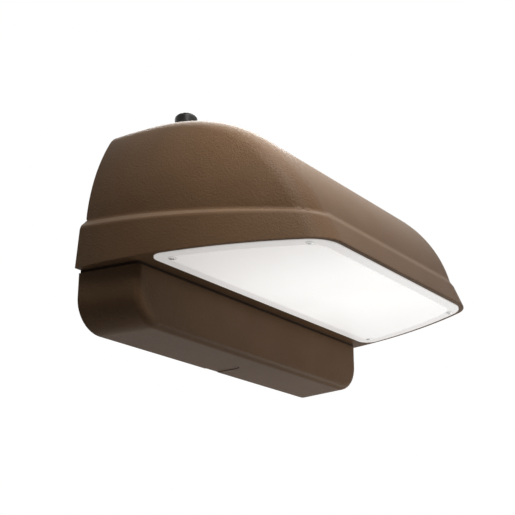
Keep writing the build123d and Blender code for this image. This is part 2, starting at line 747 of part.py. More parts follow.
# ------------------------------------------------------------------- photocell


def make_photocell():
    """The button photocell: bevelled cap on the roof and threaded stem through it."""
    base = HOOD_HEIGHT
    top = HOOD_HEIGHT + PHOTOCELL_STANDOUT
    stem_low = base - PHOTOCELL_STEM_LENGTH
    outline = Polyline(
        (0, stem_low), (PHOTOCELL_STEM_RADIUS, stem_low), (PHOTOCELL_STEM_RADIUS, base),
        (PHOTOCELL_CAP_RADIUS, base), (PHOTOCELL_CAP_RADIUS, top - PHOTOCELL_CAP_BEVEL),
        (PHOTOCELL_CAP_RADIUS - PHOTOCELL_CAP_BEVEL_WIDTH, top), (0, top), close=True,
    )
    return Pos(PHOTOCELL_X, PHOTOCELL_Y, 0) * revolve(Plane.XZ * make_face(outline), Axis.Z)


def make_photocell_locknut():
    """The hexagonal nut under the roof."""
    face = RegularPolygon(LOCKNUT_FLATS / 2, 6, major_radius=False)
    face = face - Circle(PHOTOCELL_STEM_RADIUS + CLOSE_FIT)
    seat = HOOD_HEIGHT - PHOTOCELL_PAD_DEPTH - LOCKNUT_THICKNESS
    return Pos(PHOTOCELL_X, PHOTOCELL_Y, seat) * extrude(face, LOCKNUT_THICKNESS)


# ------------------------------------------------------------------ wall plate


def plate_form():
    """The plate's solid form: the housing's rear mouth, drawn in by a gap."""
    inset = WALL + PLATE_EDGE_GAP
    upper = core_form(inset) + skirt_form(inset)
    upper = upper & slab(-BIG, BIG, -BIG, BIG, FLOOR + PLATE_EDGE_GAP, PLATE_TOP)
    lower_top = BOX_TOP - BOX_FLANGE_THICKNESS - PLATE_EDGE_GAP
    neck_half = NOTCH_HALF_WIDTH - PLATE_EDGE_GAP
    neck_low, neck_high = lower_top - JOIN, FLOOR + PLATE_EDGE_GAP + JOIN
    neck = slab(-neck_half, neck_half, -REAR_NOTCH_DEPTH / 2, BEHIND, neck_low, neck_high)
    return upper + box_form(inset, lower_top) + neck


def plate_ribs():
    """Two long ribs and four upright ones on the plate's face."""
    back, front = -PLATE_THICKNESS + JOIN, -PLATE_THICKNESS - PLATE_RIB_HEIGHT
    half, reach = PLATE_RIB_THICKNESS / 2, PLATE_RIB_HALF_LENGTH
    ribs = []
    for z in (PLATE_RIB_LOW_Z, PLATE_RIB_HIGH_Z):
        ribs.append(slab(-reach, reach, front, back, z - half, z + half))
    for x in PLATE_RIB_PLACES:
        ribs.append(slab(x - half, x + half, front, back, PLATE_RIB_LOW_Z, PLATE_RIB_HIGH_Z))
    return ribs


def hook(place):
    """One hook: an arm with a cradle, open upwards, for the hinge pin."""
    x0, x1 = place - HOOK_WIDTH / 2, place + HOOK_WIDTH / 2
    cradle = HINGE_PIN_RADIUS + HINGE_RUNNING_GAP
    outer = cradle + HOOK_WALL
    arm = slab(x0, x1, HINGE_Y - outer, -JOIN, PLATE_TOP - HOOK_ROOT, HINGE_Z)
    low_front = arm.edges().filter_by(Axis.X).group_by(Axis.Z)[0].sort_by(Axis.Y)[0]
    arm = chamfer(low_front, HOOK_BEVEL)
    arm = arm - slab(x0, x1, HINGE_Y + outer, 0, PLATE_TOP, HINGE_Z)
    arm = arm - rod_x(x0, x1, HINGE_Y, HINGE_Z, cradle)
    return arm


def lock_tab():
    """The tab that the locking screw bears on."""
    return slab(
        LOCK_TAB_X, LOCK_TAB_X + LOCK_TAB_THICKNESS, -LOCK_TAB_REACH, -PLATE_THICKNESS + JOIN,
        LOCK_SCREW_Z - LOCK_TAB_HEIGHT / 2, LOCK_SCREW_Z + LOCK_TAB_HEIGHT / 2,
    )


def gasket_panel(margin, depth):
    """A panel behind the plate that covers the outlet box holes, with a margin round them."""
    across = (ROUND_BOX_SPACING + ROUND_BOX_SLOT_LENGTH) / 2 + WALL_GASKET_FROM_SLOTS + margin
    up = GANG_BOX_SPACING / 2 + BOX_HOLE_RADIUS + WALL_GASKET_FROM_HOLES + margin
    z = OUTLET_BOX_CENTRE_Z
    return slab(-across, across, -depth, 0, z - up, z + up)


def gasket_ring(grow, depth):
    """The four-sided ring behind the plate, round the outlet box holes."""
    return gasket_panel(WALL_GASKET_WIDTH + grow, depth) - gasket_panel(-grow, depth)


def make_wall_plate():
    """The cast wall plate: a ribbed plate with two open hooks on top."""
    form = plate_form()
    plate = form & slab(-BIG, BIG, -PLATE_THICKNESS, 0, -BIG, BIG)
    for rib in plate_ribs():
        plate = plate + (rib & form)
    for place in hinge_places():
        plate = plate + hook(place)
    plate = plate + lock_tab()
    front = -PLATE_THICKNESS - PLATE_RIB_HEIGHT
    z = OUTLET_BOX_CENTRE_Z
    plate = plate - rod_y(0, front, BEHIND, z, WIRE_HOLE_RADIUS)
    slot = SlotOverall(ROUND_BOX_SLOT_LENGTH, 2 * BOX_HOLE_RADIUS)
    for side in (-1, 1):
        cutter = Plane.XZ * Pos(side * ROUND_BOX_SPACING / 2, z) * slot
        plate = plate - extrude(cutter, -front, both=True)
        plate = plate - rod_y(0, front, BEHIND, z + side * GANG_BOX_SPACING / 2, BOX_HOLE_RADIUS)
        for level in (-1, 1):
            x = side * WALL_HOLE_SPACING_X / 2
            hole_z = WALL_HOLE_CENTRE_Z + level * WALL_HOLE_SPACING_Z / 2
            plate = plate - rod_y(x, front, BEHIND, hole_z, WALL_HOLE_RADIUS)
    return plate - gasket_ring(WALL_GASKET_FIT, WALL_GASKET_THICKNESS)


def make_wall_gasket():
    """The foam ring that lies in the plate's rear groove."""
    return gasket_ring(0.0, WALL_GASKET_THICKNESS)


def make_hinge_pins():
    """Two pins held in the hood's lugs, which rest in the hooks."""
    half = pin_length() / 2
    return joined(
        [rod_x(x - half, x + half, HINGE_Y, HINGE_Z, HINGE_PIN_RADIUS) for x in hinge_places()]
    )


# ----------------------------------------------------------------------- build

NODES = {
    "hood_housing": make_hood_housing,
    "back_box": make_back_box,
    "heat_sink": make_heat_sink,
    "box_gasket": make_box_gasket,
    "slot_blank": make_slot_blank,
    "locking_screw": make_locking_screw,
    "lens": make_lens,
    "lens_gasket": make_lens_gasket,
    "reflector_strips": make_reflector_strips,
    "led_boards": make_led_boards,
    "led_packages": make_led_packages,
    "board_connectors": make_board_connectors,
    "driver_bracket": make_driver_bracket,
    "led_driver": make_led_driver,
    "surge_protector": make_surge_protector,
    "terminal_block": make_terminal_block,
    "photocell": make_photocell,
    "photocell_locknut": make_photocell_locknut,
    "hinge_pins": make_hinge_pins,
    "wall_plate": make_wall_plate,
    "wall_gasket": make_wall_gasket,
}


def main():
    """Writes one STEP file for each piece."""
    os.makedirs("parts", exist_ok=True)
    for name, make in NODES.items():
        shape = make()
        export_step(shape, f"parts/{name}.step")
        print(name, round(shape.volume / 1000, 1), "cm3")


main()
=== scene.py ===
import logging
import math
from collections.abc import Callable
from dataclasses import dataclass, field
from enum import Enum

import bpy
from mathutils import Matrix, Vector


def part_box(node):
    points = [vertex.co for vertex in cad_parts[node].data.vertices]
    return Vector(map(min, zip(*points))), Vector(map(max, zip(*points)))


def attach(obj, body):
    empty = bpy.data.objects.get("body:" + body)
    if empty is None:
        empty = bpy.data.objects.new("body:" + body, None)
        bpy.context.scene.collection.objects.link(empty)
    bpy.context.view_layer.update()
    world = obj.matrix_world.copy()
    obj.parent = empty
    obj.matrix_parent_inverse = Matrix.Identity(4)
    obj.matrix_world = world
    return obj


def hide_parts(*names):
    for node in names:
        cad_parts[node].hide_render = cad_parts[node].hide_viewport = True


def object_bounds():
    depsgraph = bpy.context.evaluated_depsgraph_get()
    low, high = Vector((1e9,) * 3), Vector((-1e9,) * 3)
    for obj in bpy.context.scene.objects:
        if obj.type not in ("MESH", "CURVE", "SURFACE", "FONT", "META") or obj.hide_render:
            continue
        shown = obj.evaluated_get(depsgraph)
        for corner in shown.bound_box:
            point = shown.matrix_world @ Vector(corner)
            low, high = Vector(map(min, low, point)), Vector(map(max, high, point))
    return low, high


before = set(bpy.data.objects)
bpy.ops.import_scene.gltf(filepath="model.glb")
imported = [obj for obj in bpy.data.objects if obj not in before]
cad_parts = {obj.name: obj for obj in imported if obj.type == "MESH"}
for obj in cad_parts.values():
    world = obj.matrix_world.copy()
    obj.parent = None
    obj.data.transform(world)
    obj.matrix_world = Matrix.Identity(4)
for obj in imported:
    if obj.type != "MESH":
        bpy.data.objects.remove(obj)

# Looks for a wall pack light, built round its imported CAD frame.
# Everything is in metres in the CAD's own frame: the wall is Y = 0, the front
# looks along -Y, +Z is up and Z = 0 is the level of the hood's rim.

CAD_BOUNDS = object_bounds()
HOUSING = "housing"
WALL_MOUNT = "wall_mount"

MM = 0.001
# A point within TOUCH of a plane lies on it.
TOUCH = 1e-6
# A normal with more than FACING of its length along an axis faces along it.
FACING = 0.99
# The lens hangs below the rim by this much, in its raised panel and in its border.
LENS_PANEL_Z = -1.0 * MM
LENS_BORDER_Z = -0.5 * MM

Colour = tuple[float, float, float]
Point = tuple[float, float, float]
Range = tuple[float, float]
Piece = bpy.types.Object
Socket = bpy.types.NodeSocket

log = logging.getLogger("wall_pack_light")


# ------------------------------------------------------------------ shader graph


class Graph:
    """A node tree with short calls for adding and joining nodes."""

    def __init__(self, tree: bpy.types.NodeTree) -> None:
        """Keeps the tree that it writes in."""
        self.tree = tree

    def add(self, kind: str, **settings: object) -> bpy.types.Node:
        """Adds a node.

        Args:
            kind: The node's type name.
            settings: Attributes to set on it.

        Returns:
            The new node.
        """
        node = self.tree.nodes.new(kind)
        for name, value in settings.items():
            setattr(node, name, value)
        return node

    def join(self, source: Socket, target: Socket) -> None:
        """Links one socket to another."""
        self.tree.links.new(source, target)

    def feed(self, target: Socket, value: Socket | Colour | float) -> None:
        """Gives a socket a number, a colour or a link.

        Args:
            target: The socket.
            value: What it gets.
        """
        if isinstance(value, tuple):
            target.default_value = (*value, 1.0)
        elif isinstance(value, (int, float)):
            target.default_value = value
        else:
            self.join(value, target)

    def noise(self, vector: Socket, scale: Socket | float, detail: float, finer_share: float) -> Socket:
        """Adds a noise pattern.

        Args:
            vector: Where the pattern is read.
            scale: Waves per metre.
            detail: Number of finer layers.
            finer_share: Share kept by each finer layer.

        Returns:
            The pattern's value.
        """
        node = self.add("ShaderNodeTexNoise")
        self.join(vector, node.inputs["Vector"])
        self.feed(node.inputs["Scale"], scale)
        node.inputs["Detail"].default_value = detail
        node.inputs["Roughness"].default_value = finer_share
        return node.outputs["Fac"]

    def math(self, operation: str, first: Socket | float, second: Socket | float) -> Socket:
        """Adds a sum on two values.

        Args:
            operation: The Math node's operation.
            first: A socket or a number.
            second: A socket or a number.

        Returns:
            The result.
        """
        node = self.add("ShaderNodeMath", operation=operation)
        for slot, value in zip(node.inputs, (first, second)):
            self.feed(slot, value)
        return node.outputs["Value"]

    def remap(self, value: Socket, low: float, high: float, to_low: float, to_high: float) -> Socket:
        """Moves a value smoothly from one range to another.

        Args:
            value: The value to move.
            low: Where it starts.
            high: Where it ends.
            to_low: What the start becomes.
            to_high: What the end becomes.

        Returns:
            The moved value.
        """
        node = self.add("ShaderNodeMapRange", interpolation_type="SMOOTHSTEP")
        for name, number in (
            ("From Min", low), ("From Max", high), ("To Min", to_low), ("To Max", to_high),
        ):
            node.inputs[name].default_value = number
        self.join(value, node.inputs["Value"])
        return node.outputs["Result"]

    def blend(self, factor: Socket, first: Socket | Colour, second: Socket | Colour) -> Socket:
        """Mixes two colours.

        Args:
            factor: 0 for the first colour, 1 for the second.
            first: A colour or a socket.
            second: A colour or a socket.

        Returns:
            The mixed colour.
        """
        node = self.add("ShaderNodeMix", data_type="RGBA")
        self.join(factor, node.inputs["Factor"])
        colour_slots = [slot for slot in node.inputs if slot.type == "RGBA"]
        for slot, value in zip(colour_slots, (first, second)):
            self.feed(slot, value)
        return next(slot for slot in node.outputs if slot.type == "RGBA")

    def bump(self, height: Socket, distance: float, strength: float) -> Socket:
        """Adds a bump.

        Args:
            height: The height pattern.
            distance: Depth of the pattern in metres.
            strength: How much of it shows.

        Returns:
            The bent normal.
        """
        node = self.add("ShaderNodeBump")
        node.inputs["Distance"].default_value = distance
        node.inputs["Strength"].default_value = strength
        self.join(height, node.inputs["Height"])
        return node.outputs["Normal"]


class Effect(Enum):
    """The effects that several finishes share, each one a node group."""

    GRAIN = "Orange peel grain"
    MOTTLE = "Slow mottle"
    # Dust on faces that look up, laid on so thickly that it is also a painted highlight on the crown
    # and the ledge.
    DUST = "Dust and painted highlight on upward faces"


class EffectLibrary:
    """Builds each shared node group once and places it in materials."""

    CELL_SMOOTHNESS = 0.8
    CELL_SHARE = 0.7
    SAND_FINENESS = 1.7
    SAND_DETAIL = 4.0
    SAND_FINER_SHARE = 0.65
    CLOUD_DETAIL = 5.0
    CLOUD_FINER_SHARE = 0.5
    CLOUD_RANGE = (0.3, 0.7)
    # The mask of the dust and painted highlight on faces that look up.
    DUST_AND_HIGHLIGHT_SLOPE_RANGE = (0.35, 1.0)
    DUST_AND_HIGHLIGHT_PATCH_SCALE = 260.0
    DUST_AND_HIGHLIGHT_PATCH_DETAIL = 6.0
    DUST_AND_HIGHLIGHT_PATCH_FINER_SHARE = 0.55
    DUST_AND_HIGHLIGHT_PATCH_RANGE = (0.25, 0.75)
    DUST_AND_HIGHLIGHT_THINNEST = 0.82

    def __init__(self) -> None:
        """Builds every group."""
        self.groups = {
            Effect.GRAIN: self._grain(),
            Effect.MOTTLE: self._mottle(),
            Effect.DUST: self._dust_and_highlight(),
        }

    @staticmethod
    def _new(effect: Effect, vectors: list[str], values: list[str], output: str) -> bpy.types.NodeTree:
        """Starts a group with its sockets.

        Args:
            effect: Which effect it is.
            vectors: Names of its vector inputs.
            values: Names of its value inputs.
            output: Name of the value that it puts out.

        Returns:
            The empty group.
        """
        tree = bpy.data.node_groups.new(effect.value, "ShaderNodeTree")
        for name in vectors:
            tree.interface.new_socket(name, in_out="INPUT", socket_type="NodeSocketVector")
        for name in values:
            tree.interface.new_socket(name, in_out="INPUT", socket_type="NodeSocketFloat")
        tree.interface.new_socket(output, in_out="OUTPUT", socket_type="NodeSocketFloat")
        return tree

    def _grain(self) -> bpy.types.NodeTree:
        """Makes the skin of a textured powder coat: soft cells with a fine sand on top.

        Returns:
            The group, which puts out a height.
        """
        tree = self._new(Effect.GRAIN, ["Vector"], ["Scale", "Sand"], "Height")
        graph = Graph(tree)
        entry, leave = graph.add("NodeGroupInput"), graph.add("NodeGroupOutput")
        cells = graph.add("ShaderNodeTexVoronoi", feature="SMOOTH_F1")
        cells.inputs["Smoothness"].default_value = self.CELL_SMOOTHNESS
        graph.join(entry.outputs["Vector"], cells.inputs["Vector"])
        graph.join(entry.outputs["Scale"], cells.inputs["Scale"])
        finer = graph.math("MULTIPLY", entry.outputs["Scale"], self.SAND_FINENESS)
        sand = graph.noise(entry.outputs["Vector"], finer, self.SAND_DETAIL, self.SAND_FINER_SHARE)
        coarse_height = graph.math("MULTIPLY", cells.outputs["Distance"], self.CELL_SHARE)
        fine_height = graph.math("MULTIPLY", sand, entry.outputs["Sand"])
        graph.join(graph.math("ADD", coarse_height, fine_height), leave.inputs["Height"])
        return tree

    def _mottle(self) -> bpy.types.NodeTree:
        """Makes slow changes of tone, with a finer cloud in them.

        Returns:
            The group, which puts out 0 for the darker tone and 1 for the lighter one.
        """
        tree = self._new(Effect.MOTTLE, ["Vector"], ["Scale"], "Tone")
        graph = Graph(tree)
        entry, leave = graph.add("NodeGroupInput"), graph.add("NodeGroupOutput")
        cloud = graph.noise(
            entry.outputs["Vector"], entry.outputs["Scale"], self.CLOUD_DETAIL, self.CLOUD_FINER_SHARE
        )
        graph.join(graph.remap(cloud, *self.CLOUD_RANGE, 0.0, 1.0), leave.inputs["Tone"])
        return tree

    def _dust_and_highlight(self) -> bpy.types.NodeTree:
        """Makes a thin veil of dust, which is also a painted highlight, on faces that look up, broken
        by noise.

        Returns:
            The group, which puts out how much of a face is under the dust and painted highlight.
        """
        tree = self._new(Effect.DUST, ["Vector", "Normal"], ["Amount"], "Mask")
        graph = Graph(tree)
        entry, leave = graph.add("NodeGroupInput"), graph.add("NodeGroupOutput")
        split = graph.add("ShaderNodeSeparateXYZ")
        graph.join(entry.outputs["Normal"], split.inputs["Vector"])
        upward = graph.remap(split.outputs["Z"], *self.DUST_AND_HIGHLIGHT_SLOPE_RANGE, 0.0, 1.0)
        cloud = graph.noise(
            entry.outputs["Vector"], self.DUST_AND_HIGHLIGHT_PATCH_SCALE, self.DUST_AND_HIGHLIGHT_PATCH_DETAIL,
            self.DUST_AND_HIGHLIGHT_PATCH_FINER_SHARE,
        )
        patch = graph.remap(cloud, *self.DUST_AND_HIGHLIGHT_PATCH_RANGE, self.DUST_AND_HIGHLIGHT_THINNEST, 1.0)
        dust_and_highlight_veil = graph.math("MULTIPLY", graph.math("MULTIPLY", upward, patch), entry.outputs["Amount"])
        graph.join(dust_and_highlight_veil, leave.inputs["Mask"])
        return tree

    def place(self, graph: Graph, effect: Effect, **values: float) -> bpy.types.Node:
        """Places a group in a material, reading the piece's own coordinates.

        Args:
            graph: The material's graph.
            effect: Which effect to place.
            values: Input values by name.

        Returns:
            The group node.
        """
        node = graph.add("ShaderNodeGroup", node_tree=self.groups[effect])
        graph.join(graph.add("ShaderNodeTexCoord").outputs["Object"], node.inputs["Vector"])
        if "Normal" in node.inputs:
            graph.join(graph.add("ShaderNodeNewGeometry").outputs["Normal"], node.inputs["Normal"])
        for name, value in values.items():
            node.inputs[name].default_value = value
        return node


# ---------------------------------------------------------------------- finishes


@dataclass(frozen=True)
class Finish:
    """A finish that paints a tone with grain and slow mottle on it, with dust that is also a painted
    highlight on faces that look up.

    The scales of its patterns are in cells or waves per metre.
    """

    name: str
    dark: Colour
    light: Colour
    roughness: float
    roughness_swing: float = 0.08
    metallic: float = 0.0
    specular: float = 0.5
    grain_scale: float = 600.0
    grain_sand: float = 0.3
    grain_depth: float = 0.1 * MM
    grain_strength: float = 0.3
    grain_range: Range = (0.1, 0.7)
    mottle_scale: float = 16.0
    # Dust that is also a painted highlight, lightening faces that look up.
    dust_and_highlight: float = 0.0
    dust_and_highlight_colour: Colour = (0.34, 0.265, 0.195)

    def build(self, effects: EffectLibrary) -> bpy.types.Material:
        """Makes the material.

        Args:
            effects: The shared node groups.

        Returns:
            The finished material.
        """
        material = bpy.data.materials.new(self.name)
        material.use_nodes = True
        material.diffuse_color = (*self.light, 1.0)
        graph = Graph(material.node_tree)
        shader = material.node_tree.nodes["Principled BSDF"]
        shader.inputs["Metallic"].default_value = self.metallic
        shader.inputs["Specular IOR Level"].default_value = self.specular
        grain = effects.place(graph, Effect.GRAIN, Scale=self.grain_scale, Sand=self.grain_sand)
        tone = effects.place(graph, Effect.MOTTLE, Scale=self.mottle_scale).outputs["Tone"]
        colour = graph.blend(tone, self.dark, self.light)
        # Lightens faces that look up with dust and a painted highlight.
        if self.dust_and_highlight > 0:
            dust_and_highlight_veil = effects.place(graph, Effect.DUST, Amount=self.dust_and_highlight).outputs["Mask"]
            colour = graph.blend(dust_and_highlight_veil, colour, self.dust_and_highlight_colour)
        graph.join(self.tint(graph, colour), shader.inputs["Base Color"])
        low, high = self.roughness - self.roughness_swing, self.roughness + self.roughness_swing
        height = grain.outputs["Height"]
        graph.join(graph.remap(height, *self.grain_range, low, high), shader.inputs["Roughness"])
        graph.join(graph.bump(height, self.grain_depth, self.grain_strength), shader.inputs["Normal"])
        self.extra(graph, shader)
        return material

    def tint(self, graph: Graph, colour: Socket) -> Socket:
        """Changes the colour before it reaches the shader; plain finishes leave it."""
        return colour

    def extra(self, graph: Graph, shader: bpy.types.Node) -> None:
        """Adds what only this kind of finish has; plain finishes add nothing."""


@dataclass(frozen=True)
class FrostedLens(Finish):
    """A frosted white lens with painted shade that greys its border, its near end and its four screw
    bosses, and with a painted glow.
    """

    # Painted shade: the grey of the border and the near end, and the painted shadows over the screw
    # bosses.
    shade_colour: Colour = (0.36, 0.345, 0.335)
    end_shade_colour: Colour = (0.50, 0.47, 0.45)
    border_shade: float = 0.34
    step_blur: float = 0.1 * MM
    # Painted shade greys the lens from its near end and dims its glow towards both ends.
    near_end: Range = (-20.0 * MM, -215.0 * MM)
    far_end: Range = (0.0, 200.0 * MM)
    # Painted glow: cloudy emission that brightens the lens with no lamp behind it.
    cloud_scale: float = 9.0
    cloud_detail: float = 4.0
    cloud_finer_share: float = 0.55
    cloud_range: Range = (0.3, 0.7)
    cloud_dimming: float = 0.22
    painted_glow: float = 0.69
    bright_glow: Colour = (1.0, 0.985, 0.965)
    dim_glow: Colour = (0.70, 0.68, 0.665)
    # The painted shadows over the four screw bosses.
    bosses: tuple[Point, ...] = ()
    boss_radius: float = 6.5 * MM
    boss_core: float = 0.3
    boss_shade: float = 0.8

    def shade(self, graph: Graph) -> Socket:
        """Finds how much painted shade greys the border, and how much painted shadow greys the bosses.

        Args:
            graph: The material's graph.

        Returns:
            0 on the panel, up to 1 over a boss.
        """
        place = graph.add("ShaderNodeTexCoord").outputs["Object"]
        split = graph.add("ShaderNodeSeparateXYZ")
        graph.join(place, split.inputs["Vector"])
        step = (LENS_PANEL_Z + LENS_BORDER_Z) / 2
        shade = graph.remap(
            split.outputs["Z"], step - self.step_blur, step + self.step_blur, 0.0, self.border_shade
        )
        for boss in self.bosses:
            reach = graph.add("ShaderNodeVectorMath", operation="DISTANCE")
            reach.inputs[1].default_value = boss
            graph.join(place, reach.inputs[0])
            core = self.boss_core * self.boss_radius
            spot = graph.remap(reach.outputs["Value"], core, self.boss_radius, self.boss_shade, 0.0)
            shade = graph.math("MAXIMUM", shade, spot)
        return shade

    def along(self, graph: Graph, low: float, high: float) -> Socket:
        """Finds how far a point is along the lens.

        Args:
            graph: The material's graph.
            low: The X where it starts.
            high: The X where it ends.

        Returns:
            0 before the start, rising to 1 at the end.
        """
        split = graph.add("ShaderNodeSeparateXYZ")
        graph.join(graph.add("ShaderNodeTexCoord").outputs["Object"], split.inputs["Vector"])
        return graph.remap(split.outputs["X"], low, high, 0.0, 1.0)

    def tint(self, graph: Graph, colour: Socket) -> Socket:
        """Paints shade on the border, the near end and the bosses.

        Args:
            graph: The material's graph.
            colour: The plain tone.

        Returns:
            The tone with its painted shade.
        """
        # Painted shade on the near end.
        colour = graph.blend(self.along(graph, *self.near_end), colour, self.end_shade_colour)
        # Painted shade on the border and painted shadows over the bosses.
        return graph.blend(self.shade(graph), colour, self.shade_colour)

    def extra(self, graph: Graph, shader: bpy.types.Node) -> None:
        """Adds a cloudy painted glow, dimmed by painted shade at both ends, on the border and over the
        bosses.

        Args:
            graph: The material's graph.
            shader: The material's shader.
        """
        place = graph.add("ShaderNodeTexCoord").outputs["Object"]
        noise = graph.noise(place, self.cloud_scale, self.cloud_detail, self.cloud_finer_share)
        cloud = graph.remap(noise, *self.cloud_range, 0.0, self.cloud_dimming)
        # Painted shade dims the glow towards both ends.
        ends = graph.math(
            "MAXIMUM", self.along(graph, *self.near_end), self.along(graph, *self.far_end)
        )
        painted_glow = graph.blend(graph.math("MAXIMUM", cloud, ends), self.bright_glow, self.dim_glow)
        # Painted shade dims the glow on the border and over the bosses.
        painted_glow = graph.blend(self.shade(graph), painted_glow, self.shade_colour)
        graph.join(painted_glow, shader.inputs["Emission Color"])
        shader.inputs["Emission Strength"].default_value = self.painted_glow


class Palette:
    """Every finish on the light, built once."""

    # The bronze's dust is also a painted highlight on the hood's crown and ledge.
    BRONZE = Finish(
        "bronze_powder_coat", (0.108, 0.061, 0.031), (0.126, 0.072, 0.038), roughness=0.38,
        specular=0.065, grain_scale=480.0, grain_sand=0.8, grain_depth=0.4 * MM, grain_strength=0.6,
        mottle_scale=12.0, dust_and_highlight=0.38,
    )
    REFLECTOR = Finish(
        "white_reflector_sheet", (0.80, 0.80, 0.79), (0.88, 0.88, 0.87), roughness=0.3,
        grain_scale=900.0, grain_strength=0.1,
    )
    BARE_CASTING = Finish(
        "bare_casting", (0.46, 0.46, 0.46), (0.58, 0.58, 0.58), roughness=0.5, metallic=1.0,
        grain_scale=700.0, grain_sand=0.7, grain_depth=0.2 * MM, grain_strength=0.25, mottle_scale=40.0,
    )
    BOARD = Finish(
        "white_circuit_board", (0.78, 0.79, 0.76), (0.84, 0.85, 0.82), roughness=0.4,
        grain_scale=2200.0, grain_strength=0.1,
    )
    PHOSPHOR = Finish(
        "yellow_phosphor", (0.75, 0.50, 0.06), (0.85, 0.62, 0.12), roughness=0.5, grain_scale=5000.0,
    )
    NYLON = Finish(
        "natural_nylon", (0.70, 0.68, 0.60), (0.78, 0.76, 0.69), roughness=0.45, grain_scale=2500.0,
        grain_strength=0.15,
    )
    ZINC = Finish(
        "zinc_plate", (0.50, 0.50, 0.47), (0.64, 0.64, 0.62), roughness=0.36, metallic=1.0,
        grain_scale=260.0, grain_sand=0.8, grain_strength=0.12, mottle_scale=60.0,
    )
    DRIVER_CASE = Finish(
        "satin_case", (0.58, 0.58, 0.58), (0.66, 0.66, 0.67), roughness=0.34, metallic=1.0,
        grain_scale=900.0, grain_strength=0.12,
    )
    BLUE_MOULDING = Finish(
        "blue_moulding", (0.02, 0.06, 0.18), (0.03, 0.08, 0.23), roughness=0.42, grain_scale=1800.0,
    )
    GREY_MOULDING = Finish(
        "grey_moulding", (0.28, 0.29, 0.30), (0.34, 0.35, 0.36), roughness=0.5, grain_scale=1800.0,
    )
    BLACK_MOULDING = Finish(
        "black_moulding", (0.006, 0.005, 0.004), (0.012, 0.010, 0.008), roughness=0.34,
        specular=0.16, grain_scale=1400.0, grain_strength=0.08,
    )
    FOAM = Finish(
        "grey_foam", (0.030, 0.030, 0.033), (0.065, 0.065, 0.070), roughness=0.9, grain_scale=900.0,
        grain_sand=0.9, grain_depth=0.5 * MM, grain_strength=0.8,
    )
    BLACK_STEEL = Finish(
        "blackened_steel", (0.030, 0.024, 0.020), (0.055, 0.045, 0.038), roughness=0.38, metallic=0.7,
        grain_scale=1600.0, grain_strength=0.1,
    )
    BRIGHT_STEEL = Finish(
        "bright_screw", (0.74, 0.74, 0.73), (0.84, 0.84, 0.83), roughness=0.34, metallic=1.0,
        grain_scale=2400.0, grain_strength=0.06,
    )
    GREEN_STEEL = Finish(
        "green_ground_screw", (0.02, 0.15, 0.05), (0.03, 0.20, 0.07), roughness=0.38,
        grain_scale=2400.0, grain_strength=0.06,
    )
    GASKET_CORD = Finish(
        "dark_gasket", (0.036, 0.022, 0.014), (0.050, 0.031, 0.020), roughness=0.85,
        specular=0.2, grain_scale=1500.0,
    )
    SCREW_STEEL = Finish(
        "plated_screw", (0.55, 0.54, 0.52), (0.70, 0.69, 0.67), roughness=0.28, metallic=1.0,
        grain_scale=2400.0, grain_strength=0.08,
    )

    def __init__(self, effects: EffectLibrary, lens_bosses: tuple[Point, ...]) -> None:
        """Keeps the shared effects and the places of the lens bosses.

        Args:
            effects: The shared node groups.
            lens_bosses: Where the four lens screws sit.
        """
        self.effects = effects
        self.built: dict[str, bpy.types.Material] = {}
        # The lens has a painted glow and painted shade.
        self.lens = FrostedLens(
            "frosted_lens", (0.62, 0.615, 0.605), (0.66, 0.655, 0.645), roughness=0.42, specular=0.3,
            grain_scale=1500.0, grain_strength=0.08, mottle_scale=7.0, bosses=lens_bosses,
        )

    def get(self, finish: Finish) -> bpy.types.Material:
        """Gives a finish's material, building it the first time.

        Args:
            finish: The finish.

        Returns:
            Its material.
        """
        if finish.name not in self.built:
            self.built[finish.name] = finish.build(self.effects)
        return self.built[finish.name]


# ----------------------------------------------------------------- modelling bench


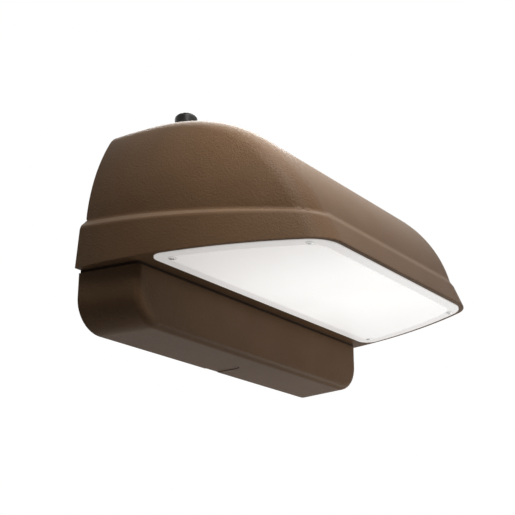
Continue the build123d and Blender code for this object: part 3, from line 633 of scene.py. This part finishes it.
class Bench:
    """Short calls for modelling a piece with Blender's own tools."""

    @staticmethod
    def clear() -> None:
        """Leaves edit mode and deselects everything."""
        if bpy.context.object and bpy.context.object.mode != "OBJECT":
            bpy.ops.object.mode_set(mode="OBJECT")
        bpy.ops.object.select_all(action="DESELECT")

    @staticmethod
    def cylinder(name: str, radius: float, low: float, high: float, sides: int = 48) -> Piece:
        """Starts a piece from an upright cylinder round the origin.

        Args:
            name: The piece's name.
            radius: Its radius.
            low: Its lower end.
            high: Its upper end.
            sides: Number of sides.

        Returns:
            The new object, in edit mode, with nothing selected.
        """
        Bench.clear()
        bpy.ops.mesh.primitive_cylinder_add(
            vertices=sides, radius=radius, depth=high - low, location=(0, 0, (low + high) / 2)
        )
        bpy.ops.object.transform_apply(location=True, rotation=True, scale=True)
        piece = bpy.context.object
        piece.name = name
        bpy.ops.object.mode_set(mode="EDIT")
        bpy.ops.mesh.select_mode(type="FACE")
        bpy.ops.mesh.select_all(action="DESELECT")
        return piece

    @staticmethod
    def pick_faces(piece: Piece, wanted: Callable[[Vector, Vector], bool]) -> None:
        """Selects the faces that a test accepts.

        Args:
            piece: The piece in edit mode.
            wanted: A test of a face's centre and normal.
        """
        bpy.ops.mesh.select_mode(type="FACE")
        bpy.ops.mesh.select_all(action="DESELECT")
        bpy.ops.object.mode_set(mode="OBJECT")
        for face in piece.data.polygons:
            face.select = wanted(face.center, face.normal)
        bpy.ops.object.mode_set(mode="EDIT")

    @staticmethod
    def pick_edges(piece: Piece, wanted: Callable[[Vector], bool]) -> None:
        """Selects the edges whose two ends both pass a test.

        Args:
            piece: The piece in edit mode.
            wanted: A test of a vertex's place.
        """
        bpy.ops.mesh.select_mode(type="EDGE")
        bpy.ops.mesh.select_all(action="DESELECT")
        bpy.ops.object.mode_set(mode="OBJECT")
        vertices = piece.data.vertices
        for edge in piece.data.edges:
            edge.select = all(wanted(vertices[index].co) for index in edge.vertices)
        bpy.ops.object.mode_set(mode="EDIT")

    @staticmethod
    def extrude(rise: float) -> None:
        """Extrudes what is selected along Z."""
        bpy.ops.mesh.extrude_region_move(TRANSFORM_OT_translate={"value": (0, 0, rise)})

    @staticmethod
    def draw_in(share: float) -> None:
        """Scales what is selected towards the Z axis."""
        bpy.ops.transform.resize(value=(share, share, 1.0), center_override=(0, 0, 0))

    @staticmethod
    def finish(piece: Piece, smooth_degrees: float = 35.0) -> Piece:
        """Leaves edit mode, mends normals and shades the piece.

        Args:
            piece: The piece.
            smooth_degrees: Edges sharper than this stay sharp.

        Returns:
            The same piece.
        """
        bpy.ops.object.mode_set(mode="EDIT")
        bpy.ops.mesh.select_all(action="SELECT")
        bpy.ops.mesh.normals_make_consistent(inside=False)
        bpy.ops.object.mode_set(mode="OBJECT")
        bpy.ops.object.shade_smooth_by_angle(angle=math.radians(smooth_degrees))
        Bench.clear()
        return piece

    @staticmethod
    def duplicate(piece: Piece, name: str) -> Piece:
        """Copies a piece with its own mesh.

        Args:
            piece: The piece to copy.
            name: The copy's name.

        Returns:
            The copy, selected and active on its own.
        """
        Bench.clear()
        copy = piece.copy()
        copy.data = piece.data.copy()
        copy.name = name
        bpy.context.scene.collection.objects.link(copy)
        copy.select_set(True)
        bpy.context.view_layer.objects.active = copy
        return copy

    @staticmethod
    def copy_to(
        piece: Piece, name: str, place: Point, along: Point = (0.0, 0.0, 1.0),
        turn: float = 0.0,
    ) -> Piece:
        """Copies a piece with its own mesh and sets the copy's place in its mesh.

        Args:
            piece: The piece to copy, modelled round the origin.
            name: The copy's name.
            place: Where its origin goes.
            along: Where its +Z goes.
            turn: Degrees that it turns about its own axis.

        Returns:
            The copy.
        """
        copy = Bench.duplicate(piece, name)
        spin = Matrix.Rotation(math.radians(turn), 4, "Z")
        lean = Vector((0, 0, 1)).rotation_difference(Vector(along)).to_matrix().to_4x4()
        copy.matrix_world = Matrix.Translation(place) @ lean @ spin
        bpy.ops.object.transform_apply(location=True, rotation=True, scale=True)
        Bench.clear()
        return copy


class Kit:
    """Dresses finished pieces and reports them."""

    def __init__(self, palette: Palette) -> None:
        """Keeps the palette that dresses the pieces."""
        self.palette = palette

    def dress(self, piece: Piece, finish: Finish, body: str) -> None:
        """Gives a piece its finish, body and material slot.

        Args:
            piece: The piece.
            finish: Its finish.
            body: The CAD body that it rides on.
        """
        piece.data.materials.clear()
        piece.data.materials.append(self.palette.get(finish))
        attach(piece, body)
        log.info("piece %s: %d faces, %s", piece.name, len(piece.data.polygons), finish.name)

    def dress_node(self, node: str, finish: Finish) -> None:
        """Gives a CAD node its finish in every material slot.

        Args:
            node: The node's name.
            finish: Its finish.
        """
        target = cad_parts[node]
        material = self.palette.get(finish)
        if not target.material_slots:
            target.data.materials.append(material)
        for slot in target.material_slots:
            slot.material = material
        log.info("node %s: %s", node, finish.name)


# ------------------------------------------------------------------ sub-assemblies


class CarriedNodes:
    """The CAD nodes, each with its finish; three of them are replaced afterwards."""

    FINISHES = {
        "hood_housing": Palette.BRONZE,
        "back_box": Palette.BRONZE,
        "wall_plate": Palette.BRONZE,
        "slot_blank": Palette.BRONZE,
        "box_gasket": Palette.GASKET_CORD,
        "lens_gasket": Palette.GASKET_CORD,
        "heat_sink": Palette.BARE_CASTING,
        "reflector_strips": Palette.REFLECTOR,
        "led_boards": Palette.BOARD,
        "led_packages": Palette.PHOSPHOR,
        "board_connectors": Palette.NYLON,
        "driver_bracket": Palette.ZINC,
        "led_driver": Palette.DRIVER_CASE,
        "surge_protector": Palette.BLUE_MOULDING,
        "terminal_block": Palette.GREY_MOULDING,
        "photocell": Palette.BLACK_MOULDING,
        "photocell_locknut": Palette.ZINC,
        "hinge_pins": Palette.SCREW_STEEL,
        "wall_gasket": Palette.FOAM,
        "locking_screw": Palette.BLACK_STEEL,
    }

    def build(self, kit: Kit) -> None:
        """Dresses every node, the lens with its own finish.

        Args:
            kit: Dresses the nodes.
        """
        for node, finish in self.FINISHES.items():
            kit.dress_node(node, finish)
        kit.dress_node("lens", kit.palette.lens)


@dataclass
class SoftHood:
    """The cast hood, with the two long edges of its ledge rounded as a casting's are.

    The ledge's lower edge lies on a plane, ledge_at_wall above the rim at the wall, that falls
    by ledge_fall towards the front. Its upper edge is step_low to step_high above that plane.
    """

    ledge_at_wall: float = 43.0 * MM
    ledge_fall: float = 0.0782
    ledge_band: float = 0.3 * MM
    step_low: float = 3.0 * MM
    step_high: float = 10.5 * MM
    steep_share: float = 0.8
    sharp_degrees: float = 8.0
    smooth_degrees: float = 32.0
    edge_width: float = 2.2 * MM
    edge_segments: int = 4
    merge_gap: float = 0.02 * MM

    def build(self, kit: Kit) -> None:
        """Copies the CAD hood, rounds its ledge and replaces it.

        Args:
            kit: Dresses the piece.
        """
        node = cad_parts["hood_housing"]
        piece = Bench.duplicate(node, "hood_casting")
        piece.parent = None
        piece.matrix_world = node.matrix_world
        bpy.ops.object.transform_apply(location=True, rotation=True, scale=True)
        if piece.data.has_custom_normals:
            bpy.ops.mesh.customdata_custom_splitnormals_clear()
        bpy.ops.object.mode_set(mode="EDIT")
        bpy.ops.mesh.select_all(action="SELECT")
        bpy.ops.mesh.remove_doubles(threshold=self.merge_gap)
        bpy.ops.object.mode_set(mode="OBJECT")
        self._pick_ledge(piece)
        bpy.ops.mesh.bevel(
            offset=self.edge_width, segments=self.edge_segments, affect="EDGES", clamp_overlap=False
        )
        bpy.ops.object.mode_set(mode="OBJECT")
        bpy.ops.object.shade_smooth_by_angle(angle=math.radians(self.smooth_degrees))
        bpy.ops.object.modifier_add(type="WEIGHTED_NORMAL")
        piece.modifiers[-1].keep_sharp = True
        bpy.ops.object.modifier_apply(modifier=piece.modifiers[-1].name)
        Bench.clear()
        kit.dress(piece, Palette.BRONZE, HOUSING)
        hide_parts("hood_housing")

    def _pick_ledge(self, piece: Piece) -> None:
        """Selects the ledge's lower and upper edges on the outside of the casting.

        Args:
            piece: The merged copy of the hood, in object mode; it is left in edit mode.
        """
        sides: dict[tuple[int, int], list[tuple[Vector, Vector]]] = {}
        for face in piece.data.polygons:
            for key in face.edge_keys:
                sides.setdefault(key, []).append((face.center.copy(), face.normal.copy()))
        places = [vertex.co.copy() for vertex in piece.data.vertices]
        chosen = [
            edge.index
            for edge in piece.data.edges
            if len(sides.get(edge.key, ())) == 2
            and self._on_ledge([places[i] for i in edge.vertices], *sides[edge.key])
        ]
        bpy.ops.object.mode_set(mode="EDIT")
        bpy.ops.mesh.select_mode(type="EDGE")
        bpy.ops.mesh.select_all(action="DESELECT")
        bpy.ops.object.mode_set(mode="OBJECT")
        for index in chosen:
            piece.data.edges[index].select = True
        bpy.ops.object.mode_set(mode="EDIT")
        log.info("hood ledge: %d edges to round", len(chosen))

    def _on_ledge(
        self, ends: list[Vector], first: tuple[Vector, Vector], second: tuple[Vector, Vector]
    ) -> bool:
        """Tells whether an edge is one of the ledge's two long edges, seen from outside.

        Args:
            ends: The edge's two ends.
            first: Centre and normal of the face on one side.
            second: Centre and normal of the face on the other side.

        Returns:
            True for an edge to round.
        """
        if first[1].angle(second[1], 0.0) < math.radians(self.sharp_degrees):
            return False
        heights = [end.z - self.ledge_at_wall - self.ledge_fall * end.y for end in ends]
        along = ends[1] - ends[0]
        if abs(along.z) > self.steep_share * along.length:
            return False
        ridge = first[1].dot(second[0] - first[0]) < 0
        if ridge:
            return all(abs(height) < self.ledge_band for height in heights)
        return all(self.step_low < height < self.step_high for height in heights)


@dataclass
class Screw:
    """A small machine screw with a round recess, modelled head down with its seat at Z = 0."""

    name: str
    shank: float
    head: float
    height: float
    grip: float
    round_off: float = 0.35
    round_segments: int = 3
    flat_loss: float = 0.6
    recess_share: float = 0.46
    recess_depth: float = 0.55
    recess_taper: float = 0.08
    shank_sections: int = 6

    def build(self) -> Piece:
        """Models the screw.

        Returns:
            The screw, round the origin, its head along -Z.
        """
        piece = Bench.cylinder(self.name, self.head, -self.height, 0.0)
        crown = TOUCH - self.height
        Bench.pick_edges(piece, lambda place: place.z < crown)
        bpy.ops.mesh.bevel(
            offset=self.height * self.round_off, segments=self.round_segments, affect="EDGES"
        )
        Bench.pick_faces(piece, lambda centre, normal: normal.z < -FACING and centre.z < crown)
        flat = 1 - self.round_off * self.flat_loss
        bpy.ops.mesh.inset(thickness=self.head * (flat - self.recess_share))
        Bench.extrude(self.height * self.recess_depth)
        bpy.ops.mesh.inset(thickness=self.head * self.recess_taper)
        Bench.pick_faces(piece, lambda centre, normal: normal.z > FACING and centre.z > -TOUCH)
        bpy.ops.mesh.inset(thickness=self.head - self.shank)
        for _ in range(self.shank_sections):
            Bench.extrude(self.grip / self.shank_sections)
        return Bench.finish(piece)


@dataclass
class LensHardware:
    """The four screws that hold the lens, near the corners of its border."""

    side_inset: float = 15.2 * MM
    back_inset: float = 15.8 * MM
    front_inset: float = 17.4 * MM
    front_draw: float = 41.0 * MM
    turn_step: float = 17.0
    screw: Screw = field(
        default_factory=lambda: Screw(
            "lens_screw_pattern", shank=1.4 * MM, head=2.7 * MM, height=1.3 * MM, grip=4.0 * MM
        )
    )

    def places(self) -> tuple[Point, ...]:
        """Finds the four places on the lens border's lower face.

        Returns:
            The back pair, then the front pair, each from -X to +X.
        """
        low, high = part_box("lens")
        back_x = high.x - self.side_inset
        pairs = (
            (back_x, high.y - self.back_inset),
            (back_x - self.front_draw, low.y + self.front_inset),
        )
        return tuple((side * x, y, LENS_BORDER_Z) for x, y in pairs for side in (-1, 1))

    def build(self, kit: Kit) -> None:
        """Models one screw and copies it to its four places.

        Args:
            kit: Dresses the pieces.
        """
        pattern = self.screw.build()
        for number, place in enumerate(self.places(), start=1):
            turn = self.turn_step * number
            piece = Bench.copy_to(pattern, f"lens_screw_{number}", place, turn=turn)
            kit.dress(piece, Palette.BRIGHT_STEEL, HOUSING)
        bpy.data.objects.remove(pattern)


@dataclass
class PhotocellButton:
    """The button photocell: a black cap with a domed crown on a ringed stem."""

    sides: int = 64
    smooth_degrees: float = 40.0
    crown: float = 5.0 * MM
    crown_steps: int = 7
    crown_draw: float = 0.42
    foot: float = 1.2 * MM
    foot_inset: float = 0.5 * MM
    stem_radius: float = 7.6 * MM
    ring_pitch: float = 2.0 * MM
    ring_depth: float = 0.5 * MM

    def build(self, kit: Kit) -> None:
        """Models the button over the CAD photocell and replaces it.

        Args:
            kit: Dresses the piece.
        """
        low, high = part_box("photocell")
        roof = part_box("hood_housing")[1].z
        centre = (low + high) / 2
        radius = (high.x - low.x) / 2
        shoulder = high.z - roof - self.crown
        pattern = Bench.cylinder("photocell_pattern", radius, self.foot, shoulder, self.sides)
        self._crown(pattern)
        self._stem(pattern, radius, roof - low.z)
        Bench.finish(pattern, self.smooth_degrees)
        button = Bench.copy_to(pattern, "photocell_cap", (centre.x, centre.y, roof))
        bpy.data.objects.remove(pattern)
        kit.dress(button, Palette.BLACK_MOULDING, HOUSING)
        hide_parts("photocell")

    def _crown(self, piece: Piece) -> None:
        """Rounds the cap's top, ring by ring.

        Args:
            piece: The cap.
        """
        Bench.pick_faces(piece, lambda centre, normal: normal.z > FACING)
        rings = [math.radians(90 * step / self.crown_steps) for step in range(self.crown_steps)]
        for before, after in zip(rings, rings[1:]):
            last, width = (1 - self.crown_draw * (1 - math.cos(angle)) for angle in (before, after))
            Bench.extrude(self.crown * (math.sin(after) - math.sin(before)))
            Bench.draw_in(width / last)

    def _stem(self, piece: Piece, radius: float, length: float) -> None:
        """Draws the foot in and runs the ringed stem down from it.

        Args:
            piece: The cap.
            radius: The cap's radius.
            length: How far the stem reaches below the roof.
        """
        Bench.pick_faces(piece, lambda centre, normal: normal.z < -FACING)
        bpy.ops.mesh.inset(thickness=self.foot_inset)
        Bench.extrude(-self.foot)
        bpy.ops.mesh.inset(thickness=radius - self.foot_inset - self.stem_radius)
        root = 1 - self.ring_depth / self.stem_radius
        halves = 2 * int(length / self.ring_pitch)
        for half in range(halves):
            Bench.extrude(-length / halves)
            Bench.draw_in(root if half % 2 == 0 else 1 / root)


@dataclass
class LockingScrewHead:
    """The locking screw in the box's end, with its recess."""

    shank: float = 2.5 * MM
    height: float = 2.8 * MM

    def build(self, kit: Kit) -> None:
        """Models the screw and replaces the CAD one.

        Args:
            kit: Dresses the piece.
        """
        low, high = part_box("locking_screw")
        middle = (low + high) / 2
        grip = high.x - low.x - self.height
        screw = Screw("locking_screw_pattern", self.shank, (high.z - low.z) / 2, self.height, grip)
        pattern = screw.build()
        place = (high.x - self.height, middle.y, middle.z)
        piece = Bench.copy_to(pattern, "locking_screw_socket_head", place, along=(-1.0, 0.0, 0.0))
        bpy.data.objects.remove(pattern)
        kit.dress(piece, Palette.BLACK_STEEL, HOUSING)
        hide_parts("locking_screw")


@dataclass
class GearFasteners:
    """The screws that hold the electrical gear, the bracket and the ground wire."""

    driver_inset: float = 5.5 * MM
    block_inset: float = 4.5 * MM
    metal_ear: float = 2.0 * MM
    moulded_ear: float = 3.0 * MM
    clamp_pitch: float = 13.0 * MM
    clamp_face: float = 9.0 * MM
    foot_x: tuple[float, ...] = (-120.0 * MM, 0.0, 134.0 * MM)
    foot_from_front: float = 11.0 * MM
    bracket_sheet: float = 1.5 * MM
    ground_place: Point = (84.0 * MM, -4.0 * MM, 84.0 * MM)
    turn_step: float = 23.0
    screw: Screw = field(
        default_factory=lambda: Screw(
            "gear_screw_pattern", shank=1.5 * MM, head=3.0 * MM, height=2.0 * MM, grip=3.0 * MM
        )
    )

    @staticmethod
    def ears(node: str, inset: float, ear: float, sides: tuple[int, ...]) -> tuple[Point, ...]:
        """Finds the screws in the ears of one piece of gear.

        Args:
            node: The gear's node.
            inset: How far its screws are from its ends.
            ear: How thick its ears are.
            sides: -1 for the ear at -X and 1 for the one at +X.

        Returns:
            Where each screw's head sits.
        """
        low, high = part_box(node)
        ends = {-1: low.x + inset, 1: high.x - inset}
        return tuple((ends[side], low.y + ear, (low.z + high.z) / 2) for side in sides)

    def clamps(self) -> tuple[Point, ...]:
        """Finds the three clamping screws of the terminal block.

        Returns:
            Where each screw's head sits, from -X to +X.
        """
        low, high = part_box("terminal_block")
        middle = (low + high) / 2
        row = (middle.x + step * self.clamp_pitch for step in (-1, 0, 1))
        return tuple((x, low.y + self.clamp_face, middle.z) for x in row)

    def feet(self) -> tuple[Point, ...]:
        """Finds the screws that hold the bracket down to the box.

        Returns:
            Where each screw's head sits, from -X to +X.
        """
        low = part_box("driver_bracket")[0]
        return tuple((x, low.y + self.foot_from_front, low.z + self.bracket_sheet) for x in self.foot_x)

    def build(self, kit: Kit) -> None:
        """Models one screw and copies it to each place.

        Args:
            kit: Dresses the pieces.
        """
        pattern = self.screw.build()
        towards_front, towards_wall, downwards = (0.0, -1.0, 0.0), (0.0, 1.0, 0.0), (0.0, 0.0, -1.0)
        gear = (
            *self.ears("led_driver", self.driver_inset, self.metal_ear, (-1, 1)),
            *self.ears("surge_protector", self.block_inset, self.metal_ear, (1,)),
            *self.ears("terminal_block", self.block_inset, self.moulded_ear, (-1, 1)),
        )
        rows = (
            ("gear_screw", gear, towards_front),
            ("bracket_screw", self.feet(), downwards),
            ("clamp_screw", self.clamps(), towards_front),
        )
        for name, places, along in rows:
            for number, place in enumerate(places, start=1):
                turn = self.turn_step * number
                piece = Bench.copy_to(pattern, f"{name}_{number}", place, along, turn)
                kit.dress(piece, Palette.SCREW_STEEL, HOUSING)
        ground = Bench.copy_to(pattern, "ground_screw", self.ground_place, towards_wall)
        kit.dress(ground, Palette.GREEN_STEEL, WALL_MOUNT)
        bpy.data.objects.remove(pattern)


# ------------------------------------------------------------------------- studio


@dataclass
class SoftLamp:
    """A large soft lamp, aimed at the light's middle unless it has an aim of its own."""

    name: str
    towards: Point
    level: float
    distance: float
    size: float
    spread_degrees: float = 180.0
    aim: Point | None = None

    def build(self, target: Vector) -> None:
        """Adds the lamp.

        With a full spread, a white surface that faces it is as bright as its level.

        Args:
            target: The light's middle.
        """
        data = bpy.data.lights.new(self.name, "AREA")
        data.shape = "DISK"
        data.size = self.size
        data.spread = math.radians(self.spread_degrees)
        data.energy = self.level * math.pi**2 * self.distance**2
        lamp = bpy.data.objects.new(self.name, data)
        bpy.context.scene.collection.objects.link(lamp)
        direction = Vector(self.towards).normalized()
        lamp.location = target + direction * self.distance
        away = lamp.location - Vector(self.aim) if self.aim else direction
        lamp.rotation_euler = away.to_track_quat("Z", "Y").to_euler()
        lamp.visible_camera = False


@dataclass
class Studio:
    """Camera, lamps, world and floor."""

    camera_place: Point = (-0.8640, -0.7018, -0.3262)
    yaw_degrees: float = 53.5
    pitch_degrees: float = 19.6
    focal_px: float = 1065.8
    image_px: float = 515.0
    sensor_mm: float = 36.0
    clip: Range = (0.01, 100.0)
    ambient: float = 0.02
    floor_z: float = -1.05
    floor_half: float = 12.0
    floor_cells: int = 8
    floor_tone: Colour = (0.86, 0.86, 0.86)
    floor_roughness: float = 0.9
    floor_white: float = 0.75
    lamps: tuple[SoftLamp, ...] = (
        SoftLamp("top_lamp", (0.1, -0.35, 1.0), 0.68, distance=0.6, size=0.5),
        SoftLamp(
            "upper_left_lamp", (-0.62, -0.50, 0.72), 0.38, distance=0.5, size=0.3,
            spread_degrees=90.0, aim=(-0.12, -0.25, 0.08),
        ),
        SoftLamp("rear_top_lamp", (0.4, 0.45, 0.8), 0.80, distance=0.8, size=0.5),
        SoftLamp("low_right_lamp", (0.78, -0.33, -0.51), 0.38, distance=0.6, size=0.3),
        SoftLamp("rear_lamp", (0.1, 1.0, 0.1), 0.6, distance=1.6, size=1.2),
    )

    def build(self) -> None:
        """Sets up everything round the object."""
        bpy.context.scene.view_settings.view_transform = "Standard"
        low, high = CAD_BOUNDS
        target = (Vector(low) + Vector(high)) / 2
        self._camera()
        self._world()
        self._floor()
        for lamp in self.lamps:
            lamp.build(target)
        log.info("studio: %d lamps", len(self.lamps))

    def _camera(self) -> None:
        """Adds the camera where the photograph was taken from."""
        data = bpy.data.cameras.new("camera")
        data.sensor_fit = "HORIZONTAL"
        data.sensor_width = self.sensor_mm
        data.lens = self.focal_px * self.sensor_mm / self.image_px
        data.clip_start, data.clip_end = self.clip
        camera = bpy.data.objects.new("camera", data)
        bpy.context.scene.collection.objects.link(camera)
        camera.location = self.camera_place
        camera.rotation_euler = (
            math.radians(90 + self.pitch_degrees), 0.0, math.radians(-self.yaw_degrees)
        )
        bpy.context.scene.camera = camera

    @staticmethod
    def _seen(graph: Graph) -> Socket:
        """Sorts the rays that see the surround from those that it lights.

        Args:
            graph: The graph of the world or the floor.

        Returns:
            1 for camera, glossy and transmission rays, and 0 for the rest.
        """
        path = graph.add("ShaderNodeLightPath")
        seen = graph.math("MAXIMUM", path.outputs["Is Camera Ray"], path.outputs["Is Glossy Ray"])
        return graph.math("MAXIMUM", seen, path.outputs["Is Transmission Ray"])

    def _world(self) -> None:
        """Makes a white surround that lights the object softly."""
        world = bpy.data.worlds.new("studio")
        bpy.context.scene.world = world
        world.use_nodes = True
        graph = Graph(world.node_tree)
        shader = world.node_tree.nodes["Background"]
        strength = graph.math("MAXIMUM", self._seen(graph), self.ambient)
        graph.join(strength, shader.inputs["Strength"])
        shader.inputs["Color"].default_value = (1.0, 1.0, 1.0, 1.0)

    def _floor(self) -> None:
        """Adds a plain pale floor that shows white and keeps a soft shadow."""
        Bench.clear()
        bpy.ops.mesh.primitive_grid_add(
            x_subdivisions=self.floor_cells, y_subdivisions=self.floor_cells,
            size=2 * self.floor_half, location=(0, 0, self.floor_z),
        )
        bpy.ops.object.transform_apply(location=True, rotation=True, scale=True)
        floor = bpy.context.object
        floor.name = "studio_floor"
        material = bpy.data.materials.new("studio_floor")
        material.use_nodes = True
        graph = Graph(material.node_tree)
        shader = material.node_tree.nodes["Principled BSDF"]
        shader.inputs["Base Color"].default_value = (*self.floor_tone, 1.0)
        shader.inputs["Roughness"].default_value = self.floor_roughness
        white = graph.add("ShaderNodeEmission")
        mix = graph.add("ShaderNodeMixShader")
        graph.join(graph.math("MULTIPLY", self._seen(graph), self.floor_white), mix.inputs["Fac"])
        graph.join(shader.outputs["BSDF"], mix.inputs[1])
        graph.join(white.outputs["Emission"], mix.inputs[2])
        graph.join(mix.outputs["Shader"], material.node_tree.nodes["Material Output"].inputs["Surface"])
        floor.data.materials.append(material)
        Bench.clear()


def main() -> None:
    """Builds the studio and dresses the light, one sub-assembly after another."""
    logging.basicConfig(level=logging.INFO, format="%(name)s: %(message)s")
    Bench.clear()
    Studio().build()
    lens_hardware = LensHardware()
    kit = Kit(Palette(EffectLibrary(), lens_hardware.places()))
    CarriedNodes().build(kit)
    SoftHood().build(kit)
    lens_hardware.build(kit)
    PhotocellButton().build(kit)
    LockingScrewHead().build(kit)
    GearFasteners().build(kit)


if __name__ == "__main__":
    main()
